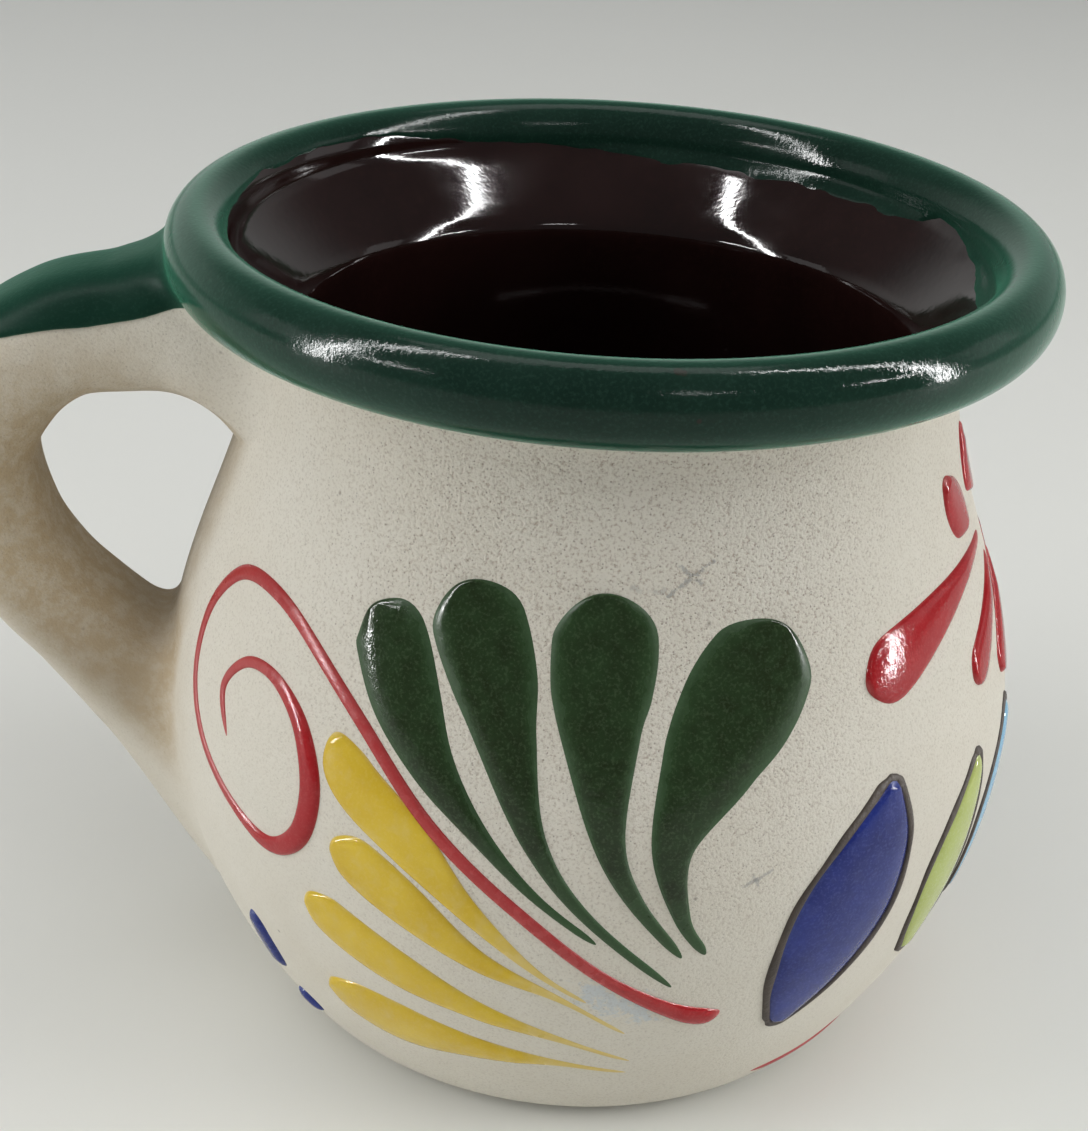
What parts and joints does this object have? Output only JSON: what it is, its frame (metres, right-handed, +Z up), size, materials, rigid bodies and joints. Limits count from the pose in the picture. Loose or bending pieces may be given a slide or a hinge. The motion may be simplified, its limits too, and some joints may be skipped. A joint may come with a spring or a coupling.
{
  "type": "clay mug",
  "caption": "Squat round-bellied clay mug with a narrow neck, thick glazed lip, strap handle and raised enamel scroll-and-leaf decoration, for hot drinks.",
  "frame": {"origin": "centre of the foot's flat underside, on the pot's axis", "axes": "+Z up along the pot's axis, -X towards the handle, +X towards the front"},
  "size_m": [0.118, 0.0936, 0.09],
  "materials": {
    "clay": "matte unglazed clay",
    "green_glaze": "gloss",
    "brown_glaze": "gloss",
    "red_enamel": "gloss",
    "green_enamel": "gloss",
    "yellow_enamel": "gloss",
    "blue_enamel": "gloss",
    "lime_enamel": "gloss",
    "sky_enamel": "gloss"
  },
  "bodies": {
    "root": {"clay_body": "clay", "handle": "clay", "rim_glaze": "green_glaze", "liner_glaze": "brown_glaze", "thumb_rest_glaze": "green_glaze", "near_scroll": "red_enamel", "far_scroll": "red_enamel", "near_green_leaf_1": "green_enamel", "near_green_leaf_2": "green_enamel", "near_green_leaf_3": "green_enamel", "near_green_leaf_4": "green_enamel", "far_green_leaf_1": "green_enamel", "far_green_leaf_2": "green_enamel", "far_green_leaf_3": "green_enamel", "far_green_leaf_4": "green_enamel", "near_yellow_leaf_1": "yellow_enamel", "near_yellow_leaf_2": "yellow_enamel", "near_yellow_leaf_3": "yellow_enamel", "near_yellow_leaf_4": "yellow_enamel", "far_yellow_leaf_1": "yellow_enamel", "far_yellow_leaf_2": "yellow_enamel", "far_yellow_leaf_3": "yellow_enamel", "far_yellow_leaf_4": "yellow_enamel", "near_petal_1": "red_enamel", "near_petal_2": "red_enamel", "near_petal_3": "red_enamel", "far_petal_1": "red_enamel", "far_petal_2": "red_enamel", "far_petal_3": "red_enamel", "near_bud_1": "red_enamel", "near_bud_2": "red_enamel", "far_bud_1": "red_enamel", "far_bud_2": "red_enamel", "near_garland_leaf_1": "blue_enamel", "near_garland_leaf_2": "lime_enamel", "near_garland_leaf_3": "sky_enamel", "far_garland_leaf_1": "blue_enamel", "far_garland_leaf_2": "lime_enamel", "far_garland_leaf_3": "sky_enamel", "near_blue_dashes": "blue_enamel", "far_blue_dashes": "blue_enamel", "middle_petal": "red_enamel", "middle_garland_leaf": "blue_enamel", "foot_line": "red_enamel"}
  },
  "joints": []
}
